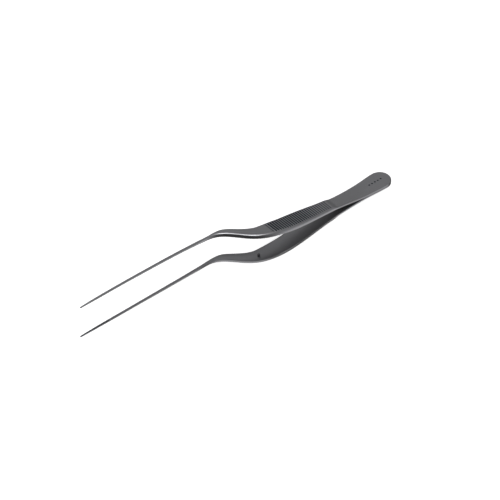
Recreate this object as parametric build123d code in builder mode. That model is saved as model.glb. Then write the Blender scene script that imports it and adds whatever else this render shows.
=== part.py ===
from build123d import *
from math import atan2, cos, sin
import os

# Bayonet-pattern planting tweezers: two forged spring leaves welded together at a rounded heel.
# Each leaf runs from the heel (-X) to its tip (+X). It is a thin spring first, then a thicker
# serrated grip, then it steps sideways towards -Y and ends in a long slender blade.
# The tweezers lie as they do on a table, on the heel's end and on the lower leaf's bow.
# All lengths are millimetres.

# ---- Driving dimensions, measured along and across the leaf from the heel's end ----------------
length = 160.0
heel_radius = 4.9
spring_thickness = 0.95
joined_length = 13.0
splay = 0.111
splay_start = 16.9
grip_start = 31.2
grip_ramp = 3.0
grip_end = 60.4
grip_rise = 0.90
foot_length = 0.8
foot_rise = 0.28
foot_slope = 0.30
grip_swell = 0.50
grip_inner_rise = 0.05
tip_round = 0.3

# Serrations across the grip's outer face: shallow at first, and the last groove is shallow too
groove_pitch = 1.145
groove_count = 28
groove_depth = 0.26
first_groove = 34.8
first_share = 0.5
last_share = 0.6
growing_grooves = 12

# Fine cross serrations on the jaws' inner faces
jaw_pitch = 0.6
jaw_count = 26
jaw_depth = 0.08
first_jaw_groove = 144.0

# Weld seam round the heel's end
weld_height = 0.5
weld_depth = 0.5

# Spring hinge of each leaf: where the flexing neck's rotation is centred
pivot_x = 21.8
pivot_radius = 1.0
pivot_clearance = 0.03

# Guide pin on the lower leaf and its blind socket in the upper leaf
pin_x = 71.2
pin_y = -1.6
pin_radius = 0.575
pin_height = 1.25
pin_seat = 1.1
pin_dome = 0.2
socket_radius = 0.75
socket_depth = 0.8

# Plain row of punched dots on the upper heel
dot_count = 5
dot_pitch = 1.6
dot_radius = 0.4
dot_depth = 0.12
dot_row_x = 7.6

# Where the lower leaf's bow touches the table
bow_x = 61.7

# ---- Outline and side profile as stations: (distance from heel, offset, slope) ------------------
side_step = [
    (heel_radius, -heel_radius, 0.0),
    (14.4, -4.15, 0.07),
    (30.4, -3.10, -0.015),
    (56.4, -4.45, 0.0),
    (69.4, -5.65, -0.14),
    (76.4, -9.40, -0.835),
    (83.4, -13.95, -0.18),
    (92.4, -14.20, -0.025),
    (120.0, -14.50, 0.0),
    (length - tip_round, -14.1, 0.045),
]
side_back = [
    (heel_radius, heel_radius, 0.0),
    (14.4, 4.50, -0.04),
    (30.4, 3.70, -0.02),
    (54.4, 4.30, -0.02),
    (66.4, 2.75, -0.235),
    (76.4, -2.85, -1.0),
    (84.4, -10.95, -0.645),
    (91.0, -12.75, -0.04),
    (120.0, -13.35, -0.01),
    (length - tip_round, -13.4, -0.01),
]


def spring_line(x):
    """Height of the splayed leaf's inner face above the mid-plane, before the grip's thickening."""
    return splay * (x - splay_start)


splay_end = 2 * splay_start - joined_length
inner_face = [
    (joined_length, 0.0, 0.0),
    (splay_end, spring_line(splay_end), splay),
    (33.0, spring_line(33.0), splay),
    (39.0, spring_line(39.0) - grip_inner_rise, splay),
    (grip_end, spring_line(grip_end) - grip_inner_rise, splay),
    (70.8, 5.65, 0.07),
    (77.4, 6.00, 0.04),
    (84.4, 6.15, 0.04),
    (91.0, 6.58, 0.08),
    (102.4, 7.25, 0.04),
    (128.0, 7.75, 0.02),
    (length, 7.92, 0.005),
]
grip_top = spring_thickness + grip_rise
foot_end = grip_start + foot_length
ramp_end = grip_start + grip_ramp
swell_slope = splay + grip_swell / (grip_end - ramp_end)
outer_face = [
    (joined_length, spring_thickness, 0.0),
    (splay_end, spring_line(splay_end) + spring_thickness, splay),
    (grip_start, spring_line(grip_start) + spring_thickness, splay),
    (foot_end, spring_line(foot_end) + spring_thickness + foot_rise, splay + foot_slope),
    (ramp_end, spring_line(ramp_end) + grip_top, swell_slope),
    (grip_end, spring_line(grip_end) + grip_top + grip_swell, swell_slope),
    (70.8, 7.85, 0.055),
    (77.4, 8.10, 0.045),
    (84.4, 8.12, -0.01),
    (91.0, 8.10, -0.01),
    (102.4, 8.25, 0.03),
    (128.0, 8.62, 0.005),
    (length, 8.50, -0.015),
]


def height_at(stations, x):
    """Offset of the cubic curve through the stations at distance x from the heel."""
    for (x0, y0, m0), (x1, y1, m1) in zip(stations, stations[1:]):
        if x0 <= x <= x1:
            span = x1 - x0
            t = (x - x0) / span
            start = (1 + 2 * t) * (1 - t) ** 2 * y0 + t * (1 - t) ** 2 * span * m0
            end = t * t * (3 - 2 * t) * y1 + t * t * (t - 1) * span * m1
            return start + end
    raise ValueError(f"{x} is outside the stations")


# ---- Placement: the mid-plane between the leaves tilts so that heel and bow stand on Z = 0 ------
bow_height = height_at(outer_face, bow_x)
tilt = atan2(bow_height - spring_thickness, bow_x)
tip_reach = length * cos(tilt) + outer_face[-1][1] * sin(tilt)
heel_reach = spring_thickness * sin(tilt)
blade_side = max(-y for _, y, _ in side_step)
heel_end = Vector(
    -(tip_reach - heel_reach) / 2,
    (blade_side - heel_radius) / 2,
    spring_thickness * cos(tilt),
)
along = Vector(cos(tilt), 0, sin(tilt))
upward = Vector(-sin(tilt), 0, cos(tilt))
mid_plane = Plane(origin=heel_end, x_dir=along, z_dir=upward)
side_plane = Plane(origin=heel_end, x_dir=along, z_dir=(0, -1, 0))
pivot_height = spring_line(pivot_x) + spring_thickness / 2

# Working sizes that reach past the leaf on every side
blank_height = 12.0
blank_width = 20.0
overrun = 2 * length


def cubic_chain(stations):
    """Adds the cubic curve through the stations to the current line, one Bezier per span."""
    for (x0, y0, m0), (x1, y1, m1) in zip(stations, stations[1:]):
        third = (x1 - x0) / 3
        Bezier((x0, y0), (x0 + third, y0 + m0 * third), (x1 - third, y1 - m1 * third), (x1, y1))


def faced(stations, facing):
    """The same stations for the leaf above (+1) or below (-1) the mid-plane."""
    return [(x, facing * z, facing * slope) for x, z, slope in stations]


# Plan outline of a leaf, shared by both
with BuildSketch(mid_plane) as outline:
    with BuildLine():
        cubic_chain(side_step)
        cubic_chain(side_back)
        ThreePointArc((heel_radius, -heel_radius), (0, 0), (heel_radius, heel_radius))
        tip_mid = (side_step[-1][1] + side_back[-1][1]) / 2
        ThreePointArc(
            side_step[-1][:2],
            (length, tip_mid),
            side_back[-1][:2],
        )
    make_face()


def side_profile(facing):
    """Side view of a leaf: its thickness and its bow away from the mid-plane."""
    inner = faced(inner_face, facing)
    outer = faced(outer_face, facing)
    with BuildSketch(side_plane) as profile:
        with BuildLine():
            Line((0, 0), inner[0][:2])
            cubic_chain(inner)
            Line(inner[-1][:2], outer[-1][:2])
            cubic_chain(outer)
            Line(outer[0][:2], (0, outer[0][1]))
            Line((0, outer[0][1]), (0, 0))
        make_face()
    return profile.sketch


def groove_comb(face, first, pitch, depths, facing):
    """Side view of a row of V grooves in a face; depths are positive away from the mid-plane."""
    with BuildSketch(side_plane) as comb:
        for groove, depth in enumerate(depths):
            middle = first + groove * pitch
            left = middle - pitch / 2
            right = middle + pitch / 2
            points = [
                (left, height_at(face, left)),
                (middle, height_at(face, middle) + depth),
                (right, height_at(face, right)),
                (right, height_at(face, right) - depth),
                (left, height_at(face, left) - depth),
            ]
            with BuildLine():
                Polyline(*[(x, facing * z) for x, z in points], close=True)
            make_face()
    return comb.sketch


def serrations(facing):
    """Side view of the metal taken out between the ridges of a grip's outer face."""
    shares = [min(1, first_share + (1 - first_share) * i / growing_grooves) for i in range(groove_count)]
    shares[-1] = last_share
    depths = [-groove_depth * share for share in shares]
    return groove_comb(outer_face, first_groove, groove_pitch, depths, facing)


def jaw_serrations(facing):
    """Side view of the metal taken out of a jaw's inner face."""
    return groove_comb(inner_face, first_jaw_groove, jaw_pitch, [jaw_depth] * jaw_count, facing)


def behind_hinge(facing):
    """Side view of what an arm leaves out: all up to the hinge, but not the disc it turns in."""
    with BuildSketch(side_plane) as window:
        with Locations((pivot_x - overrun / 2, facing * blank_height / 2)):
            Rectangle(overrun, blank_height)
        with Locations((pivot_x, facing * pivot_height)):
            Circle(pivot_radius, mode=Mode.SUBTRACT)
    return window.sketch


def ahead_of_hinge(facing):
    """Side view of what a heel leaves out: all past the hinge, and the arm's disc with clearance."""
    with BuildSketch(side_plane) as window:
        with Locations((pivot_x + overrun / 2, facing * blank_height / 2)):
            Rectangle(overrun, blank_height)
        with Locations((pivot_x, facing * pivot_height)):
            Circle(pivot_radius + pivot_clearance)
    return window.sketch


def leaf_blank(facing):
    """The whole forged leaf: the outline in plan, cut to the side profile."""
    with BuildPart() as blank:
        extrude(outline.sketch, amount=facing * blank_height)
        extrude(side_profile(facing), amount=blank_width, both=True, mode=Mode.INTERSECT)
    return blank.part


def cut_across(side_view):
    """Cuts the current part right across its width with a side-view sketch."""
    extrude(side_view, amount=blank_width, both=True, mode=Mode.SUBTRACT)


upper_leaf = leaf_blank(1)
lower_leaf = leaf_blank(-1)

# Weld seam: a band let into both leaves round the heel's end, ground flush
weld_plane = mid_plane.offset(-weld_height / 2)
with BuildPart() as heel_weld:
    with BuildSketch(weld_plane):
        with BuildLine():
            ThreePointArc((heel_radius, -heel_radius), (0, 0), (heel_radius, heel_radius))
            Line((heel_radius, heel_radius), (heel_radius, heel_radius - weld_depth))
            ThreePointArc(
                (heel_radius, heel_radius - weld_depth),
                (weld_depth, 0),
                (heel_radius, weld_depth - heel_radius),
            )
            Line((heel_radius, weld_depth - heel_radius), (heel_radius, -heel_radius))
        make_face()
    extrude(amount=weld_height)
heel_weld.part.label = "heel_weld"

# Upper heel: the joined end and the neck up to the spring hinge, with the punched dots
dot_plane = mid_plane.offset(spring_thickness)
with BuildPart() as upper_heel:
    add(upper_leaf)
    cut_across(ahead_of_hinge(1))
    add(heel_weld.part, mode=Mode.SUBTRACT)
    with BuildSketch(dot_plane):
        with Locations((dot_row_x, 0)):
            with GridLocations(dot_pitch, 0, dot_count, 1):
                Circle(dot_radius)
    extrude(amount=-dot_depth, mode=Mode.SUBTRACT)
upper_heel.part.label = "upper_heel"

# Lower heel: the same, plain
with BuildPart() as lower_heel:
    add(lower_leaf)
    cut_across(ahead_of_hinge(-1))
    add(heel_weld.part, mode=Mode.SUBTRACT)
lower_heel.part.label = "lower_heel"

# Upper arm: neck, serrated grip, sideways step and blade, with the blind socket for the pin
upper_face_plane = mid_plane.offset(height_at(inner_face, pin_x) + socket_depth)
with BuildPart() as upper_arm:
    add(upper_leaf)
    cut_across(behind_hinge(1))
    cut_across(serrations(1))
    cut_across(jaw_serrations(1))
    with BuildSketch(upper_face_plane):
        with Locations((pin_x, pin_y)):
            Circle(socket_radius)
    extrude(amount=-2 * socket_depth, mode=Mode.SUBTRACT)
upper_arm.part.label = "upper_arm"

# Guide pin: a short stub with a domed end, pressed into the lower leaf
pin_foot = -height_at(inner_face, pin_x) - pin_seat
with BuildPart() as guide_pin:
    with BuildSketch(mid_plane.offset(pin_foot)):
        with Locations((pin_x, pin_y)):
            Circle(pin_radius)
    extrude(amount=pin_seat + pin_height)
    crown = guide_pin.edges().filter_by(GeomType.CIRCLE).sort_by(Axis.Z)[-1]
    fillet(crown, pin_dome)
guide_pin.part.label = "guide_pin"

# Lower arm: the mirrored arm, bored for the guide pin
with BuildPart() as lower_arm:
    add(lower_leaf)
    cut_across(behind_hinge(-1))
    cut_across(serrations(-1))
    cut_across(jaw_serrations(-1))
    with BuildSketch(mid_plane.offset(pin_foot)):
        with Locations((pin_x, pin_y)):
            Circle(pin_radius)
    extrude(amount=pin_seat + pin_height, mode=Mode.SUBTRACT)
lower_arm.part.label = "lower_arm"

os.makedirs("parts", exist_ok=True)
for piece in (upper_heel, lower_heel, heel_weld, upper_arm, lower_arm, guide_pin):
    export_step(piece.part, f"parts/{piece.part.label}.step")
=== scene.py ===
import bisect
from math import atan2, cos, pi, radians, sin, sqrt

import bmesh
import bpy
from mathutils import Matrix, Vector


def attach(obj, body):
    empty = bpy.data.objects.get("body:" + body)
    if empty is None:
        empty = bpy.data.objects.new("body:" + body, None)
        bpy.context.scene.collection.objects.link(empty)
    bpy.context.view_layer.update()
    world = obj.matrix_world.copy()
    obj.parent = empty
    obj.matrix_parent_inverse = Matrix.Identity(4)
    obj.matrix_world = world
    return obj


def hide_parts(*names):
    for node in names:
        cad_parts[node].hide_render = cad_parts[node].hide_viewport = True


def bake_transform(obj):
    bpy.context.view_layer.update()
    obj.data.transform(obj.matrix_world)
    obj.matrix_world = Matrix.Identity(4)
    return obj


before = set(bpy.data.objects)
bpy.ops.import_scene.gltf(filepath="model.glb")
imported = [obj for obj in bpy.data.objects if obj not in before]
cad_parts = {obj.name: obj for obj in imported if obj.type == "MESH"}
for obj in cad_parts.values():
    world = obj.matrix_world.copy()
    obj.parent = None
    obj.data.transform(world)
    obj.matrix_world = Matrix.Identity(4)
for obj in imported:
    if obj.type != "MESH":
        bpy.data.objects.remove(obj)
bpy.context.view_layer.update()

# ---- Leaf dimensions, in millimetres from the heel's end, as in the CAD part ---------------------
MM = 0.001
LENGTH = 160.0
HEEL_RADIUS = 4.9
SPRING_THICKNESS = 0.95
JOINED_LENGTH = 13.0
SPLAY = 0.111
SPLAY_START = 16.9
GRIP_START = 31.2
GRIP_RAMP = 3.0
GRIP_END = 60.4
GRIP_RISE = 0.90
FOOT_LENGTH = 0.8
FOOT_RISE = 0.28
FOOT_SLOPE = 0.30
GRIP_SWELL = 0.50
GRIP_INNER_RISE = 0.05
TIP_ROUND = 0.3

GROOVE_PITCH = 1.145
GROOVE_COUNT = 28
GROOVE_DEPTH = 0.26
FIRST_GROOVE = 34.8
FIRST_SHARE = 0.5
LAST_SHARE = 0.6
GROWING_GROOVES = 12
JAW_PITCH = 0.6
JAW_COUNT = 26
JAW_DEPTH = 0.08
FIRST_JAW_GROOVE = 144.0

# Where the lower leaf's bow touches the floor
BOW_X = 61.7

PIN_X = 71.2
PIN_Y = -1.6
PIN_RADIUS = 0.575
PIN_HEIGHT = 1.25
PIN_DOME = 0.2
PIN_ROOT = 0.4
SOCKET_RADIUS = 0.75
SOCKET_DEPTH = 0.8
WELD_HEIGHT = 0.5
WELD_DEPTH = 0.5
WELD_CROWN = 0.04
WELD_SINK = 0.01
WELD_FALL = 0.07

DOT_COUNT = 5
DOT_PITCH = 1.6
DOT_RADIUS = 0.4
DOT_DEPTH = 0.12
DOT_ROW_X = 7.6
DOT_RIM = 0.02
DOT_FLOOR_RADIUS = 0.32
DOT_CENTRE_RADIUS = 0.04

# Stations of the outline and the side profile: (distance from heel, offset, slope)
SIDE_STEP = [
    (HEEL_RADIUS, -HEEL_RADIUS, 0.0),
    (14.4, -4.15, 0.07),
    (30.4, -3.10, -0.015),
    (56.4, -4.45, 0.0),
    (69.4, -5.65, -0.14),
    (76.4, -9.40, -0.835),
    (83.4, -13.95, -0.18),
    (92.4, -14.20, -0.025),
    (120.0, -14.50, 0.0),
    (LENGTH - TIP_ROUND, -14.1, 0.045),
]
SIDE_BACK = [
    (HEEL_RADIUS, HEEL_RADIUS, 0.0),
    (14.4, 4.50, -0.04),
    (30.4, 3.70, -0.02),
    (54.4, 4.30, -0.02),
    (66.4, 2.75, -0.235),
    (76.4, -2.85, -1.0),
    (84.4, -10.95, -0.645),
    (91.0, -12.75, -0.04),
    (120.0, -13.35, -0.01),
    (LENGTH - TIP_ROUND, -13.4, -0.01),
]


def spring_line(x):
    """Height of the splayed leaf's inner face above the mid-plane, before the grip's thickening."""
    return SPLAY * (x - SPLAY_START)


SPLAY_END = 2 * SPLAY_START - JOINED_LENGTH
INNER_FACE = [
    (0.0, 0.0, 0.0),
    (JOINED_LENGTH, 0.0, 0.0),
    (SPLAY_END, spring_line(SPLAY_END), SPLAY),
    (33.0, spring_line(33.0), SPLAY),
    (39.0, spring_line(39.0) - GRIP_INNER_RISE, SPLAY),
    (GRIP_END, spring_line(GRIP_END) - GRIP_INNER_RISE, SPLAY),
    (70.8, 5.65, 0.07),
    (77.4, 6.00, 0.04),
    (84.4, 6.15, 0.04),
    (91.0, 6.58, 0.08),
    (102.4, 7.25, 0.04),
    (128.0, 7.75, 0.02),
    (LENGTH, 7.92, 0.005),
]
GRIP_TOP = SPRING_THICKNESS + GRIP_RISE
FOOT_END = GRIP_START + FOOT_LENGTH
RAMP_END = GRIP_START + GRIP_RAMP
SWELL_SLOPE = SPLAY + GRIP_SWELL / (GRIP_END - RAMP_END)
OUTER_FACE = [
    (0.0, SPRING_THICKNESS, 0.0),
    (JOINED_LENGTH, SPRING_THICKNESS, 0.0),
    (SPLAY_END, spring_line(SPLAY_END) + SPRING_THICKNESS, SPLAY),
    (GRIP_START, spring_line(GRIP_START) + SPRING_THICKNESS, SPLAY),
    (FOOT_END, spring_line(FOOT_END) + SPRING_THICKNESS + FOOT_RISE, SPLAY + FOOT_SLOPE),
    (RAMP_END, spring_line(RAMP_END) + GRIP_TOP, SWELL_SLOPE),
    (GRIP_END, spring_line(GRIP_END) + GRIP_TOP + GRIP_SWELL, SWELL_SLOPE),
    (70.8, 7.85, 0.055),
    (77.4, 8.10, 0.045),
    (84.4, 8.12, -0.01),
    (91.0, 8.10, -0.01),
    (102.4, 8.25, 0.03),
    (128.0, 8.62, 0.005),
    (LENGTH, 8.50, -0.015),
]

# Each side of a leaf's section is a rounded shoulder that drops from the outer face, by a share of the
# thickness, and then a wall down to the crowned edge of the inner face.
# Stations: (distance from heel, size, slope)
SHOULDER_TURN = radians(65.0)
SHOULDER_WIDTH = [
    (0.0, 0.42, 0.0),
    (31.2, 0.40, 0.0),
    (34.4, 0.80, 0.05),
    (42.0, 1.00, 0.0),
    (60.0, 1.00, -0.01),
    (74.0, 0.55, -0.01),
    (90.0, 0.45, -0.01),
    (LENGTH, 0.30, -0.002),
]
SHOULDER_SHARE = [
    (0.0, 0.38, 0.0),
    (31.2, 0.38, 0.0),
    (34.4, 0.85, 0.0),
    (38.0, 0.92, 0.0),
    (60.0, 0.92, -0.02),
    (74.0, 0.33, 0.0),
    (90.0, 0.36, 0.02),
    (102.0, 0.60, 0.0),
    (LENGTH, 0.60, 0.0),
]
CROWN_WIDTH = [
    (0.0, 0.15, 0.0),
    (18.0, 0.20, 0.0),
    (40.0, 0.50, 0.01),
    (60.0, 0.80, 0.06),
    (72.0, 2.80, 0.0),
    (90.0, 0.60, -0.02),
    (LENGTH, 0.40, 0.0),
]
CROWN_DEPTH = [
    (0.0, 0.10, 0.0),
    (18.0, 0.10, 0.0),
    (60.0, 0.12, 0.0),
    (72.0, 0.34, 0.0),
    (84.0, 0.34, -0.01),
    (92.0, 0.12, -0.005),
    (LENGTH, 0.12, 0.0),
]
# How far a side wall leans in from the inner face's edge up to its shoulder
WALL_DRAFT = [
    (0.0, 0.0, 0.0),
    (60.0, 0.0, 0.0),
    (72.0, 0.32, 0.0),
    (88.0, 0.32, 0.0),
    (96.0, 0.0, 0.0),
    (LENGTH, 0.0, 0.0),
]

# The widest that a shoulder or a crown gets, as a share of the leaf's half width
BAND_LIMIT = 0.95
# Where the sideways step has run out into the straight blade
BLADE_START = 92.0

# ---- Mesh fineness -------------------------------------------------------------------------------
HEEL_FAN = 18
TIP_FAN = 6
PLAIN_STEP = 0.7
BEND_STEP = 0.35
BLADE_STEP = 1.6
RAMP_STEP = 0.14
TIP_STEP = 0.1
SAMPLES_PER_RIDGE = 10
SAMPLES_PER_JAW_GROOVE = 6
SHOULDER_STEPS = 7
WALL_STEPS = 2
FACE_STEPS = 14
LATHE_STEPS = 40
DOT_STEPS = 24
DOME_STEPS = 6
WELD_TURNS = 48
WELD_ROUNDING = 4
SHARP_ANGLE = radians(28)
MERGE_DISTANCE = 1e-7


def cubic(stations, x):
    """Value and slope of the cubic curve through the stations at x."""
    i = min(max(bisect.bisect_right([s[0] for s in stations], x) - 1, 0), len(stations) - 2)
    x0, y0, m0 = stations[i]
    x1, y1, m1 = stations[i + 1]
    span = x1 - x0
    t = min(max((x - x0) / span, 0.0), 1.0)
    value = (1 + 2 * t) * (1 - t) ** 2 * y0 + t * (1 - t) ** 2 * span * m0
    value += t * t * (3 - 2 * t) * y1 + t * t * (t - 1) * span * m1
    rise = 6 * t * (1 - t) * (y1 - y0) / span
    slope = rise + (1 - t) * (1 - 3 * t) * m0 + t * (3 * t - 2) * m1
    return value, slope


# ---- The tweezers' own plane, as they lie on the heel's end and the lower leaf's bow -------------
tilt = atan2(cubic(OUTER_FACE, BOW_X)[0] - SPRING_THICKNESS, BOW_X)
along = Vector((cos(tilt), 0.0, sin(tilt)))
across = Vector((0.0, 1.0, 0.0))
upward = Vector((-sin(tilt), 0.0, cos(tilt)))
tip_reach = LENGTH * cos(tilt) + OUTER_FACE[-1][1] * sin(tilt)
heel_reach = SPRING_THICKNESS * sin(tilt)
blade_side = max(-offset for _, offset, _ in SIDE_STEP)
heel_end = Vector((
    (heel_reach - tip_reach) / 2,
    (blade_side - HEEL_RADIUS) / 2,
    SPRING_THICKNESS * cos(tilt),
)) * MM


def place(x, y, z):
    """A point given along, across and above the mid-plane, in millimetres, as a row-frame point."""
    return heel_end + (along * x + across * y + upward * z) * MM


def outline_at(x):
    """Back side, step side and their slopes at x; the ends are round."""
    if x < HEEL_RADIUS:
        half = sqrt(max(HEEL_RADIUS**2 - (HEEL_RADIUS - x) ** 2, 0.0))
        return half, -half, 0.0, 0.0
    back, back_slope = cubic(SIDE_BACK, x)
    step, step_slope = cubic(SIDE_STEP, x)
    tip_start = LENGTH - TIP_ROUND
    if x > tip_start:
        middle, half = (back + step) / 2, (back - step) / 2
        half *= sqrt(max(1 - ((x - tip_start) / TIP_ROUND) ** 2, 0.0))
        return middle + half, middle - half, 0.0, 0.0
    return back, step, back_slope, step_slope


def inset_at(x, y, sides):
    """How far (x, y) lies inside the outline."""
    back, step, back_slope, step_slope = sides
    if x < HEEL_RADIUS:
        return HEEL_RADIUS - sqrt((HEEL_RADIUS - x) ** 2 + y * y)
    from_back = (back - y) / sqrt(1 + back_slope**2)
    from_step = (y - step) / sqrt(1 + step_slope**2)
    inset = min(from_back, from_step)
    tip_start = LENGTH - TIP_ROUND
    if x > tip_start:
        inset = min(inset, LENGTH - x)
    return inset


def shoulder_drop(inset, width, depth):
    """How far the outer face has dropped at an inset from its edge: an arc of SHOULDER_TURN."""
    reach = 1 - min(max(inset / width, 0.0), 1.0)
    return depth * (1 - sqrt(1 - (reach * sin(SHOULDER_TURN)) ** 2)) / (1 - cos(SHOULDER_TURN))


def crown_drop(inset, width, depth):
    """How far the inner face has dropped at an inset from its edge: a shallow parabola."""
    reach = min(max(inset / width, 0.0), 1.0)
    return depth * (1 - reach) ** 2


# The serrations deepen over the first GROWING_GROOVES of them, and the last one is shallower
GRIP_SHARES = [
    min(1, FIRST_SHARE + (1 - FIRST_SHARE) * i / GROWING_GROOVES) for i in range(GROOVE_COUNT)
]
GRIP_SHARES[-1] = LAST_SHARE
GRIP_DEPTHS = [GROOVE_DEPTH * share for share in GRIP_SHARES]
JAW_DEPTHS = [JAW_DEPTH] * JAW_COUNT


def groove(x, first, pitch, depths):
    """Depth of a row of V grooves at x; the ridges between them come to a point."""
    position = (x - first) / pitch + 0.5
    if not 0 <= position < len(depths):
        return 0.0
    return depths[int(position)] * (1 - abs(2 * (position % 1.0) - 1))


def spread(start, end, step):
    """Even distances from start up to but not including end."""
    count = max(1, round((end - start) / step))
    return [start + (end - start) * i / count for i in range(count)]


def stations_along():
    """Distances from the heel at which the leaf's section is made."""
    xs = [HEEL_RADIUS * (1 - cos(pi / 2 * i / HEEL_FAN)) for i in range(HEEL_FAN)]
    ridges = FIRST_GROOVE - GROOVE_PITCH / 2
    ridges_end = ridges + GROOVE_PITCH * GROOVE_COUNT
    jaws = FIRST_JAW_GROOVE - JAW_PITCH / 2
    jaws_end = jaws + JAW_PITCH * JAW_COUNT
    tip_start = LENGTH - TIP_ROUND
    xs += spread(HEEL_RADIUS, GRIP_START, PLAIN_STEP)
    xs += spread(GRIP_START, ridges, RAMP_STEP)
    xs += spread(ridges, ridges_end, GROOVE_PITCH / SAMPLES_PER_RIDGE)
    xs += spread(ridges_end, BLADE_START, BEND_STEP)
    xs += spread(BLADE_START, jaws, BLADE_STEP)
    xs += spread(jaws, jaws_end, JAW_PITCH / SAMPLES_PER_JAW_GROOVE)
    xs += spread(jaws_end, tip_start, TIP_STEP)
    xs += [tip_start + TIP_ROUND * sin(pi / 2 * i / TIP_FAN) for i in range(TIP_FAN + 1)]
    return xs


def section(x):
    """Closed ring of (y, z, edge, groove, inner) round the leaf at x, outer face first; groove and
    inner weigh the shade painted into the grooves and onto the inner face.
    """
    sides = outline_at(x)
    back, step, back_slope, step_slope = sides
    inner, outer = cubic(INNER_FACE, x)[0], cubic(OUTER_FACE, x)[0]
    half = (back - step) / 2
    thickness = outer - inner
    crown_width = cubic(CROWN_WIDTH, x)[0]
    crown_depth = cubic(CROWN_DEPTH, x)[0]
    shoulder_width = cubic(SHOULDER_WIDTH, x)[0]
    shoulder_depth = cubic(SHOULDER_SHARE, x)[0] * (thickness - crown_depth)
    back_stretch = sqrt(1 + back_slope**2)
    step_stretch = sqrt(1 + step_slope**2)
    outer_cut = groove(x, FIRST_GROOVE, GROOVE_PITCH, GRIP_DEPTHS)
    inner_cut = groove(x, FIRST_JAW_GROOVE, JAW_PITCH, JAW_DEPTHS)

    def face_ys(width, lip):
        """Places across a face, inset by a lip and packed closer in a band along each side."""
        back_band = min(width * back_stretch, BAND_LIMIT * half)
        step_band = min(width * step_stretch, BAND_LIMIT * half)
        start, end = back - lip * back_stretch, step + lip * step_stretch
        turns = [1 - cos(pi / 2 * i / SHOULDER_STEPS) for i in range(SHOULDER_STEPS)]
        ys = [start - back_band * t for t in turns]
        first, last = start - back_band, end + step_band
        ys += [first + (last - first) * i / FACE_STEPS for i in range(FACE_STEPS + 1)]
        ys += [end + step_band * t for t in reversed(turns)]
        return ys

    ring = []
    draft = cubic(WALL_DRAFT, x)[0]
    for y in face_ys(shoulder_width, draft):
        inset = inset_at(x, y, sides) - draft
        rounded = outer - shoulder_drop(inset, shoulder_width, shoulder_depth)
        z = min(rounded, outer - outer_cut)
        # The fourth value, the depth down a serration groove, paints shade into that groove
        ring.append((y, z, max(0.0, 1 - inset / shoulder_width), (rounded - z) / GROOVE_DEPTH, 0.0))
    top, bottom = outer - shoulder_depth, inner + crown_depth
    shares = [i / (WALL_STEPS + 1) for i in range(1, WALL_STEPS + 1)]
    step_lip, back_lip = draft * step_stretch, -draft * back_stretch
    ring += [(step + step_lip * (1 - t), top + (bottom - top) * t, 1.0, 0.0, 0.0) for t in shares]
    for y in reversed(face_ys(crown_width, 0.0)):
        inset = inset_at(x, y, sides)
        crowned = inner + crown_drop(inset, crown_width, crown_depth)
        z = max(crowned, inner + inner_cut)
        # The depth down a jaw groove paints shade into it; inner marks the inner face for its painted
        # shade
        ring.append((y, z, 0.0, (z - crowned) / JAW_DEPTH, 1.0))
    ring += [(back + back_lip * t, bottom + (top - bottom) * t, 1.0, 0.0, 0.0) for t in shares]
    return ring


def mesh_object(name, verts, faces, material):
    """A new object in the scene, made from its points and faces, with one material."""
    mesh = bpy.data.meshes.new(name)
    mesh.from_pydata(verts, [], faces)
    mesh.materials.append(material)
    mesh.validate()
    made = bpy.data.objects.new(name, mesh)
    bpy.context.scene.collection.objects.link(made)
    return made


def tidy_normals(made):
    """Merges doubled points, turns the faces outward and shades them smooth up to SHARP_ANGLE."""
    work = bmesh.new()
    work.from_mesh(made.data)
    bmesh.ops.remove_doubles(work, verts=work.verts, dist=MERGE_DISTANCE)
    bmesh.ops.dissolve_degenerate(work, edges=work.edges, dist=MERGE_DISTANCE)
    bmesh.ops.recalc_face_normals(work, faces=work.faces)
    work.to_mesh(made.data)
    work.free()
    made.data.shade_smooth()
    made.data.set_sharp_from_angle(angle=SHARP_ANGLE)


def leaf(name, facing, material):
    """One whole spring leaf above (+1) or below (-1) the mid-plane, as a single skin."""
    xs = stations_along()
    rings = [section(x) for x in xs]
    size = len(rings[0])
    verts = [place(x, y, facing * z) for x, ring in zip(xs, rings) for y, z, *_ in ring]
    faces = []
    for i in range(len(xs) - 1):
        for j in range(size):
            k = (j + 1) % size
            faces.append((i * size + j, i * size + k, (i + 1) * size + k, (i + 1) * size + j))
    made = mesh_object(name, verts, faces, material)
    # groove and inner carry the painted shade of the grooves and of the inner face; edge_wear carries
    # the worn edges
    for layer_name, value in (("edge_wear", 2), ("groove", 3), ("inner", 4)):
        layer = made.data.attributes.new(layer_name, "FLOAT", "POINT")
        layer.data.foreach_set("value", [point[value] for ring in rings for point in ring])
    girths = [girth(ring) for ring in rings]
    uvs = []
    for i in range(len(xs) - 1):
        for j in range(size):
            for row, column in ((i, j), (i, j + 1), (i + 1, j + 1), (i + 1, j)):
                uvs += [xs[row] / LENGTH, girths[row][column] / LENGTH]
    made.data.uv_layers.new(name="UVMap").data.foreach_set("uv", uvs)
    tidy_normals(made)
    return made


def girth(ring):
    """Distance round a ring at each of its points, and back at the first."""
    total = [0.0]
    for (y0, z0, *_), (y1, z1, *_) in zip(ring, ring[1:] + ring[:1]):
        total.append(total[-1] + sqrt((y1 - y0) ** 2 + (z1 - z0) ** 2))
    return total


def lathe(name, foot, profile, material, steps=LATHE_STEPS):
    """A turned piece about the upward axis through foot, from (radius, height) points."""
    verts = []
    for radius, height in profile:
        for i in range(steps):
            angle = 2 * pi * i / steps
            x, y = foot[0] + radius * cos(angle), foot[1] + radius * sin(angle)
            verts.append(place(x, y, foot[2] + height))
    faces = []
    for row in range(len(profile) - 1):
        low, high = row * steps, (row + 1) * steps
        for i in range(steps):
            k = (i + 1) % steps
            faces.append((low + i, low + k, high + k, high + i))
    faces.append(tuple(range(steps)))
    faces.append(tuple(reversed(range((len(profile) - 1) * steps, len(profile) * steps))))
    made = mesh_object(name, verts, faces, material)
    tidy_normals(made)
    return made


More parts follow.
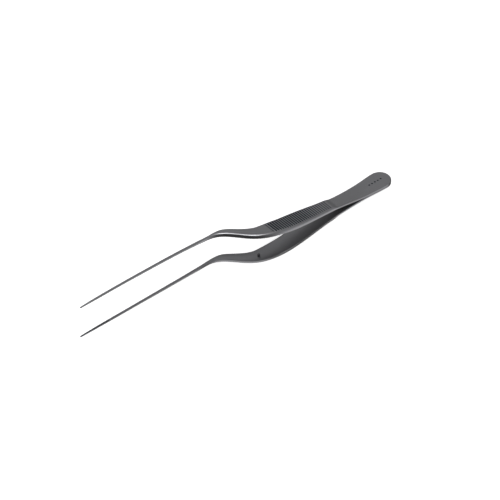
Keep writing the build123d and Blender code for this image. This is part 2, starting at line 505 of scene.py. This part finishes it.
def carve(made, cutter):
    """Takes the cutter's shape out of a piece."""
    cut = made.modifiers.new("carve", "BOOLEAN")
    cut.operation = "DIFFERENCE"
    cut.solver = "EXACT"
    cut.object = cutter
    bpy.context.view_layer.update()
    evaluated = made.evaluated_get(bpy.context.evaluated_depsgraph_get())
    carved = bpy.data.meshes.new_from_object(evaluated)
    made.modifiers.clear()
    made.data = carved
    bpy.data.objects.remove(cutter)
    made.data.set_sharp_from_angle(angle=SHARP_ANGLE)


def shade_pit(made, foot, radius):
    """Paints shade on what lies in a pit, below its foot point and within its radius, as in a deep
    groove.
    """
    depths = made.data.attributes["groove"].data
    for vertex in made.data.vertices:
        arm = (vertex.co - heel_end) / MM
        from_axis = sqrt((arm.dot(along) - foot[0]) ** 2 + (arm.dot(across) - foot[1]) ** 2)
        if from_axis < radius and 0 < foot[2] - arm.dot(upward) < PIT_REACH:
            depths[vertex.index].value = PIT_SHADE


# ---- Materials -----------------------------------------------------------------------------------
STEEL_TONE = (0.335, 0.335, 0.350)
STEEL_ROUGHNESS = 0.30
WELD_TONE = (0.38, 0.38, 0.395)
WELD_ROUGHNESS = 0.36
# The guide pin's steel is painted nearly black, for the shade it stands in between the leaves
PIN_PAINTED_SHADE_TONE = (0.10, 0.10, 0.108)
PIN_ROUGHNESS = 0.34
# Shade painted into the grooves and pits: its tone, how fast it deepens, what a pit floor gets and how
# deep a pit reaches
PAINTED_GROOVE_SHADE_TONE = (0.011, 0.020, 0.028, 1.0)
GROOVE_SHADE = 1.5
PIT_SHADE = 0.7
PIT_REACH = 0.2
BLOTCH = 0.07
WEAR_GAIN = 1.5
WEAR_LIMIT = 0.8
WEAR_SHARE = 0.5
# The inner faces get painted shade, for the shade between the leaves, and also a rougher finish
INNER_PAINTED_SHADE = 0.72
INNER_ROUGHNESS = 0.15
ROUGHNESS_SPREAD = 0.05
HAIRLINE_SCALE = (60.0, 1600.0)
HAIRLINE_DETAIL = 4.0
CLOUD_SCALE = (14.0, 40.0)
CLOUD_DETAIL = 3.0
BRUSH_STRENGTH = 0.35
BRUSH_HEIGHT = 0.00002


def node(tree, kind, **values):
    """A new shader node with some of its settings."""
    made = tree.nodes.new(kind)
    for key, value in values.items():
        setattr(made, key, value)
    return made


def new_material(name):
    """A new material, its node tree and its shader."""
    material = bpy.data.materials.new(name)
    material.use_nodes = True
    tree = material.node_tree
    return material, tree, tree.nodes["Principled BSDF"]


def satin_steel(name, tone, roughness):
    """Finely brushed, slightly darkened stainless steel.

    It is brighter where the edges are worn, has shade painted down in the grooves and pits, and inside
    it is rougher, with painted shade.
    """
    material, tree, shader = new_material(name)
    link = tree.links.new
    uv = node(tree, "ShaderNodeUVMap", uv_map="UVMap")

    def brushed(scale, detail):
        """Noise drawn out along the leaf, at a scale along it and a scale round it."""
        mapping = node(tree, "ShaderNodeMapping")
        mapping.inputs["Scale"].default_value = (*scale, 1.0)
        link(uv.outputs["UV"], mapping.inputs["Vector"])
        noise = node(tree, "ShaderNodeTexNoise")
        noise.inputs["Scale"].default_value = 1.0
        noise.inputs["Detail"].default_value = detail
        link(mapping.outputs["Vector"], noise.inputs["Vector"])
        return noise.outputs["Fac"]

    hairlines = brushed(HAIRLINE_SCALE, HAIRLINE_DETAIL)
    clouds = brushed(CLOUD_SCALE, CLOUD_DETAIL)
    wear = node(tree, "ShaderNodeAttribute", attribute_name="edge_wear")

    blotch = node(tree, "ShaderNodeMix", data_type="RGBA")
    blotch.inputs["A"].default_value = (*[c * (1 - BLOTCH) for c in tone], 1.0)
    blotch.inputs["B"].default_value = (*[c * (1 + BLOTCH) for c in tone], 1.0)
    link(clouds, blotch.inputs["Factor"])
    worn = node(tree, "ShaderNodeMix", data_type="RGBA")
    worn.inputs["B"].default_value = (*[min(c * WEAR_GAIN, WEAR_LIMIT) for c in tone], 1.0)
    link(blotch.outputs["Result"], worn.inputs["A"])
    soft = node(tree, "ShaderNodeMath", operation="MULTIPLY")
    soft.inputs[1].default_value = WEAR_SHARE
    link(wear.outputs["Fac"], soft.inputs[0])
    link(soft.outputs["Value"], worn.inputs["Factor"])
    # Shade painted into the grooves and pits, darkest at their bottoms
    cut = node(tree, "ShaderNodeAttribute", attribute_name="groove")
    shade = node(tree, "ShaderNodeMath", operation="MULTIPLY", use_clamp=True)
    shade.inputs[1].default_value = GROOVE_SHADE
    link(cut.outputs["Fac"], shade.inputs[0])
    # The inner faces are darkened by painted shade, standing for the shade between the two leaves
    inner = node(tree, "ShaderNodeAttribute", attribute_name="inner")
    inner_painted_shade_mix = node(tree, "ShaderNodeMix", data_type="RGBA")
    inner_painted_shade_mix.inputs["B"].default_value = (*[c * INNER_PAINTED_SHADE for c in tone], 1.0)
    link(worn.outputs["Result"], inner_painted_shade_mix.inputs["A"])
    link(inner.outputs["Fac"], inner_painted_shade_mix.inputs["Factor"])
    shaded = node(tree, "ShaderNodeMix", data_type="RGBA")
    shaded.inputs["B"].default_value = PAINTED_GROOVE_SHADE_TONE
    link(inner_painted_shade_mix.outputs["Result"], shaded.inputs["A"])
    link(shade.outputs["Value"], shaded.inputs["Factor"])
    link(shaded.outputs["Result"], shader.inputs["Base Color"])

    rough = node(tree, "ShaderNodeMapRange")
    rough.inputs["To Min"].default_value = roughness - ROUGHNESS_SPREAD
    rough.inputs["To Max"].default_value = roughness + ROUGHNESS_SPREAD
    link(hairlines, rough.inputs["Value"])
    duller = node(tree, "ShaderNodeMath", operation="MULTIPLY_ADD")
    duller.inputs[1].default_value = INNER_ROUGHNESS
    link(inner.outputs["Fac"], duller.inputs[0])
    link(rough.outputs["Result"], duller.inputs[2])
    link(duller.outputs["Value"], shader.inputs["Roughness"])
    bump = node(tree, "ShaderNodeBump")
    bump.inputs["Strength"].default_value = BRUSH_STRENGTH
    bump.inputs["Distance"].default_value = BRUSH_HEIGHT
    link(hairlines, bump.inputs["Height"])
    link(bump.outputs["Normal"], shader.inputs["Normal"])
    shader.inputs["Metallic"].default_value = 1.0
    return material


leaf_steel = satin_steel("leaf_steel", STEEL_TONE, STEEL_ROUGHNESS)
weld_steel = satin_steel("weld_steel", WELD_TONE, WELD_ROUGHNESS)
# The pin's material is painted dark, as shade
pin_steel = satin_steel("pin_steel", PIN_PAINTED_SHADE_TONE, PIN_ROUGHNESS)

# ---- The pieces ----------------------------------------------------------------------------------
upper = leaf("upper_spring_leaf", 1, leaf_steel)
lower = leaf("lower_spring_leaf", -1, leaf_steel)

dot_profile = [
    (DOT_RADIUS + DOT_DEPTH, DOT_DEPTH),
    (DOT_RADIUS - DOT_RIM, -DOT_RIM),
    (DOT_FLOOR_RADIUS, -DOT_DEPTH),
    (DOT_CENTRE_RADIUS, -DOT_DEPTH),
]
for dot in range(DOT_COUNT):
    dot_x = DOT_ROW_X + (dot - (DOT_COUNT - 1) / 2) * DOT_PITCH
    dot_foot = (dot_x, 0.0, SPRING_THICKNESS)
    carve(upper, lathe("dot_cutter", dot_foot, dot_profile, leaf_steel, DOT_STEPS))
    # Paints shade on the dot's floor
    shade_pit(upper, (dot_x, 0.0, SPRING_THICKNESS - DOT_RIM / 2), DOT_RADIUS)

pin_face = cubic(INNER_FACE, PIN_X)[0]
socket_profile = [(SOCKET_RADIUS, -SOCKET_DEPTH), (SOCKET_RADIUS, SOCKET_DEPTH)]
carve(upper, lathe("socket_cutter", (PIN_X, PIN_Y, pin_face), socket_profile, leaf_steel))

dome = [
    (PIN_RADIUS - PIN_DOME * (1 - cos(turn)), PIN_HEIGHT - PIN_DOME * (1 - sin(turn)))
    for turn in [pi / 2 * i / DOME_STEPS for i in range(DOME_STEPS + 1)]
]
pin_profile = [(PIN_RADIUS, -PIN_ROOT)] + dome
pin = lathe("guide_pin_stub", (PIN_X, PIN_Y, -pin_face), pin_profile, pin_steel)


def weld_bead(name, material):
    """The seam round the heel's end, a hair proud of the leaves there and sunk in at its two ends."""
    rounding = range(-WELD_ROUNDING, WELD_ROUNDING + 1)
    heights = [WELD_HEIGHT / 2 * sin(pi / 2 * i / WELD_ROUNDING) for i in rounding]
    root = [(HEEL_RADIUS - WELD_DEPTH, z) for z in (WELD_HEIGHT / 2, -WELD_HEIGHT / 2)]
    size = len(heights) + len(root)
    verts = []
    for turn in range(WELD_TURNS + 1):
        angle = pi / 2 + pi * turn / WELD_TURNS
        peak = HEEL_RADIUS + WELD_CROWN * sin(pi * turn / WELD_TURNS) - WELD_SINK
        for radius, z in [(peak - WELD_FALL * (2 * z / WELD_HEIGHT) ** 2, z) for z in heights] + root:
            verts.append(place(HEEL_RADIUS + radius * cos(angle), radius * sin(angle), z))
    faces = []
    for turn in range(WELD_TURNS):
        for j in range(size):
            k = (j + 1) % size
            a, b = turn * size, (turn + 1) * size
            faces.append((a + j, a + k, b + k, b + j))
    faces.append(tuple(range(size)))
    faces.append(tuple(range(WELD_TURNS * size, (WELD_TURNS + 1) * size)))
    made = mesh_object(name, verts, faces, material)
    tidy_normals(made)
    return made


weld = weld_bead("heel_weld_bead", weld_steel)

# ---- The leaves baked in place, the CAD pieces hidden, the pin and weld hung on their bodies -----
for piece, body, facing in ((upper, "upper_leaf", 1), (lower, "lower_leaf", -1)):
    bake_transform(piece)
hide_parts("upper_heel", "upper_arm")
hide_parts("lower_heel", "lower_arm")
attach(pin, "lower_leaf")
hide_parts("guide_pin")
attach(weld, "heel")
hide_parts("heel_weld")

# ---- Floor ---------------------------------------------------------------------------------------
FLOOR_HALF = 6.0
FLOOR_GLOW = 0.66
FLOOR_TONE = (0.9, 0.9, 0.9, 1.0)
FLOOR_ROUGHNESS = 0.9
floor_material, _, floor_shader = new_material("pale_floor")
floor_shader.inputs["Base Color"].default_value = FLOOR_TONE
floor_shader.inputs["Roughness"].default_value = FLOOR_ROUGHNESS
floor_shader.inputs["Specular IOR Level"].default_value = 0.0
floor_shader.inputs["Emission Color"].default_value = (1.0, 1.0, 1.0, 1.0)
floor_shader.inputs["Emission Strength"].default_value = FLOOR_GLOW
corners = [(x * FLOOR_HALF, y * FLOOR_HALF, 0.0) for x, y in [(-1, -1), (1, -1), (1, 1), (-1, 1)]]
floor = mesh_object("studio_floor", corners, [(0, 1, 2, 3)], floor_material)
floor.visible_glossy = False

# ---- Camera: a long lens, its upright set by the tweezers' own plane -----------------------------
# The view's width, and where a point on the heel's edge lies from its middle, are in millimetres.
VIEW_AZIMUTH = radians(139.3)
VIEW_ELEVATION = radians(41.3)
VIEW_WIDTH = 212.15
HEEL_IN_VIEW = (60.46, 29.76)
HEEL_POINT = (0.4, 3.1, 0.0)
LENS = 1600.0
back = (
    along * (sin(VIEW_AZIMUTH) * cos(VIEW_ELEVATION))
    - across * (cos(VIEW_AZIMUTH) * cos(VIEW_ELEVATION))
    + upward * sin(VIEW_ELEVATION)
)
right = upward.cross(back).normalized()
top = back.cross(right)
camera_data = bpy.data.cameras.new("camera")
camera = bpy.data.objects.new("camera", camera_data)
bpy.context.scene.collection.objects.link(camera)
bpy.context.scene.camera = camera
camera_data.lens = LENS
distance = VIEW_WIDTH * MM * LENS / camera_data.sensor_width
target = place(*HEEL_POINT) - (right * HEEL_IN_VIEW[0] + top * HEEL_IN_VIEW[1]) * MM
turn = Matrix((right, top, back)).transposed().to_4x4()
camera.matrix_world = Matrix.Translation(target + back * distance) @ turn
camera_data.clip_start = 0.01
camera_data.clip_end = 100.0

# ---- Light ---------------------------------------------------------------------------------------
def softbox(name, azimuth, elevation, reach, width, height, glow):
    """A soft area light facing the object, from an azimuth and elevation, of a given brightness."""
    a, e = radians(azimuth), radians(elevation)
    toward = Vector((sin(a) * cos(e), -cos(a) * cos(e), sin(e)))
    data = bpy.data.lights.new(name, "AREA")
    data.shape = "RECTANGLE"
    data.size, data.size_y = width, height
    data.energy = glow * pi * width * height
    made = bpy.data.objects.new(name, data)
    bpy.context.scene.collection.objects.link(made)
    made.location = toward * reach
    made.rotation_mode = "QUATERNION"
    made.rotation_quaternion = toward.to_track_quat("Z", "Y")
    made.visible_camera = False
    return made


softbox("key_softbox", azimuth=150.0, elevation=48.0, reach=1.2, width=0.5, height=0.5, glow=2.2)

# The studio that the steel reflects, as soft patches of light on a dim room:
# (direction, angle of the full patch, angle where it has faded out, brightness).
# The last two are fill light, for views from the heel's side of the room.
ROOM_TONE = 0.02
BACKDROP_TONE = (0.98, 0.98, 0.98, 1.0)
PATCHES = [
    ((-0.57, -0.60, 0.56), 20.0, 56.0, 0.34),
    ((-0.20, -0.35, 0.92), 6.0, 24.0, 1.10),
    ((0.30, 0.56, 0.77), 14.0, 30.0, 3.0),
    ((-0.42, 0.70, -0.58), 10.0, 26.0, 0.90),
    ((-0.50, 0.75, 0.45), 35.0, 65.0, 0.31),
    ((-0.40, -0.50, -0.77), 12.0, 30.0, 1.30),
    ((0.12, 0.00, -0.99), 14.0, 32.0, 0.80),
    ((0.70, -0.62, 0.28), 22.0, 46.0, 0.28),
    ((0.88, 0.00, 0.42), 20.0, 46.0, 0.26),
]

world = bpy.data.worlds.new("studio")
bpy.context.scene.world = world
world.use_nodes = True
sky = world.node_tree
background = sky.nodes["Background"]
direction = node(sky, "ShaderNodeTexCoord")


def patch(toward, full, faded, brightness):
    """Brightness of one soft patch of light, by the angle from its middle."""
    facing = node(sky, "ShaderNodeVectorMath", operation="DOT_PRODUCT")
    facing.inputs[1].default_value = Vector(toward).normalized()
    sky.links.new(direction.outputs["Generated"], facing.inputs[0])
    fade = node(sky, "ShaderNodeMapRange", interpolation_type="SMOOTHSTEP")
    fade.inputs["From Min"].default_value = cos(radians(faded))
    fade.inputs["From Max"].default_value = cos(radians(full))
    fade.inputs["To Max"].default_value = brightness
    sky.links.new(facing.outputs["Value"], fade.inputs["Value"])
    return fade.outputs["Result"]


total = None
for settings in PATCHES:
    light = patch(*settings)
    if total is None:
        total = light
        continue
    stronger = node(sky, "ShaderNodeMath", operation="MAXIMUM")
    sky.links.new(total, stronger.inputs[0])
    sky.links.new(light, stronger.inputs[1])
    total = stronger.outputs["Value"]
lit = node(sky, "ShaderNodeMath", operation="ADD")
lit.inputs[1].default_value = ROOM_TONE
sky.links.new(total, lit.inputs[0])
seen = node(sky, "ShaderNodeLightPath")
backdrop = node(sky, "ShaderNodeMix", data_type="RGBA")
backdrop.inputs["B"].default_value = BACKDROP_TONE
sky.links.new(seen.outputs["Is Camera Ray"], backdrop.inputs["Factor"])
sky.links.new(lit.outputs["Value"], backdrop.inputs["A"])
sky.links.new(backdrop.outputs["Result"], background.inputs["Color"])
bpy.context.scene.view_settings.view_transform = "Standard"
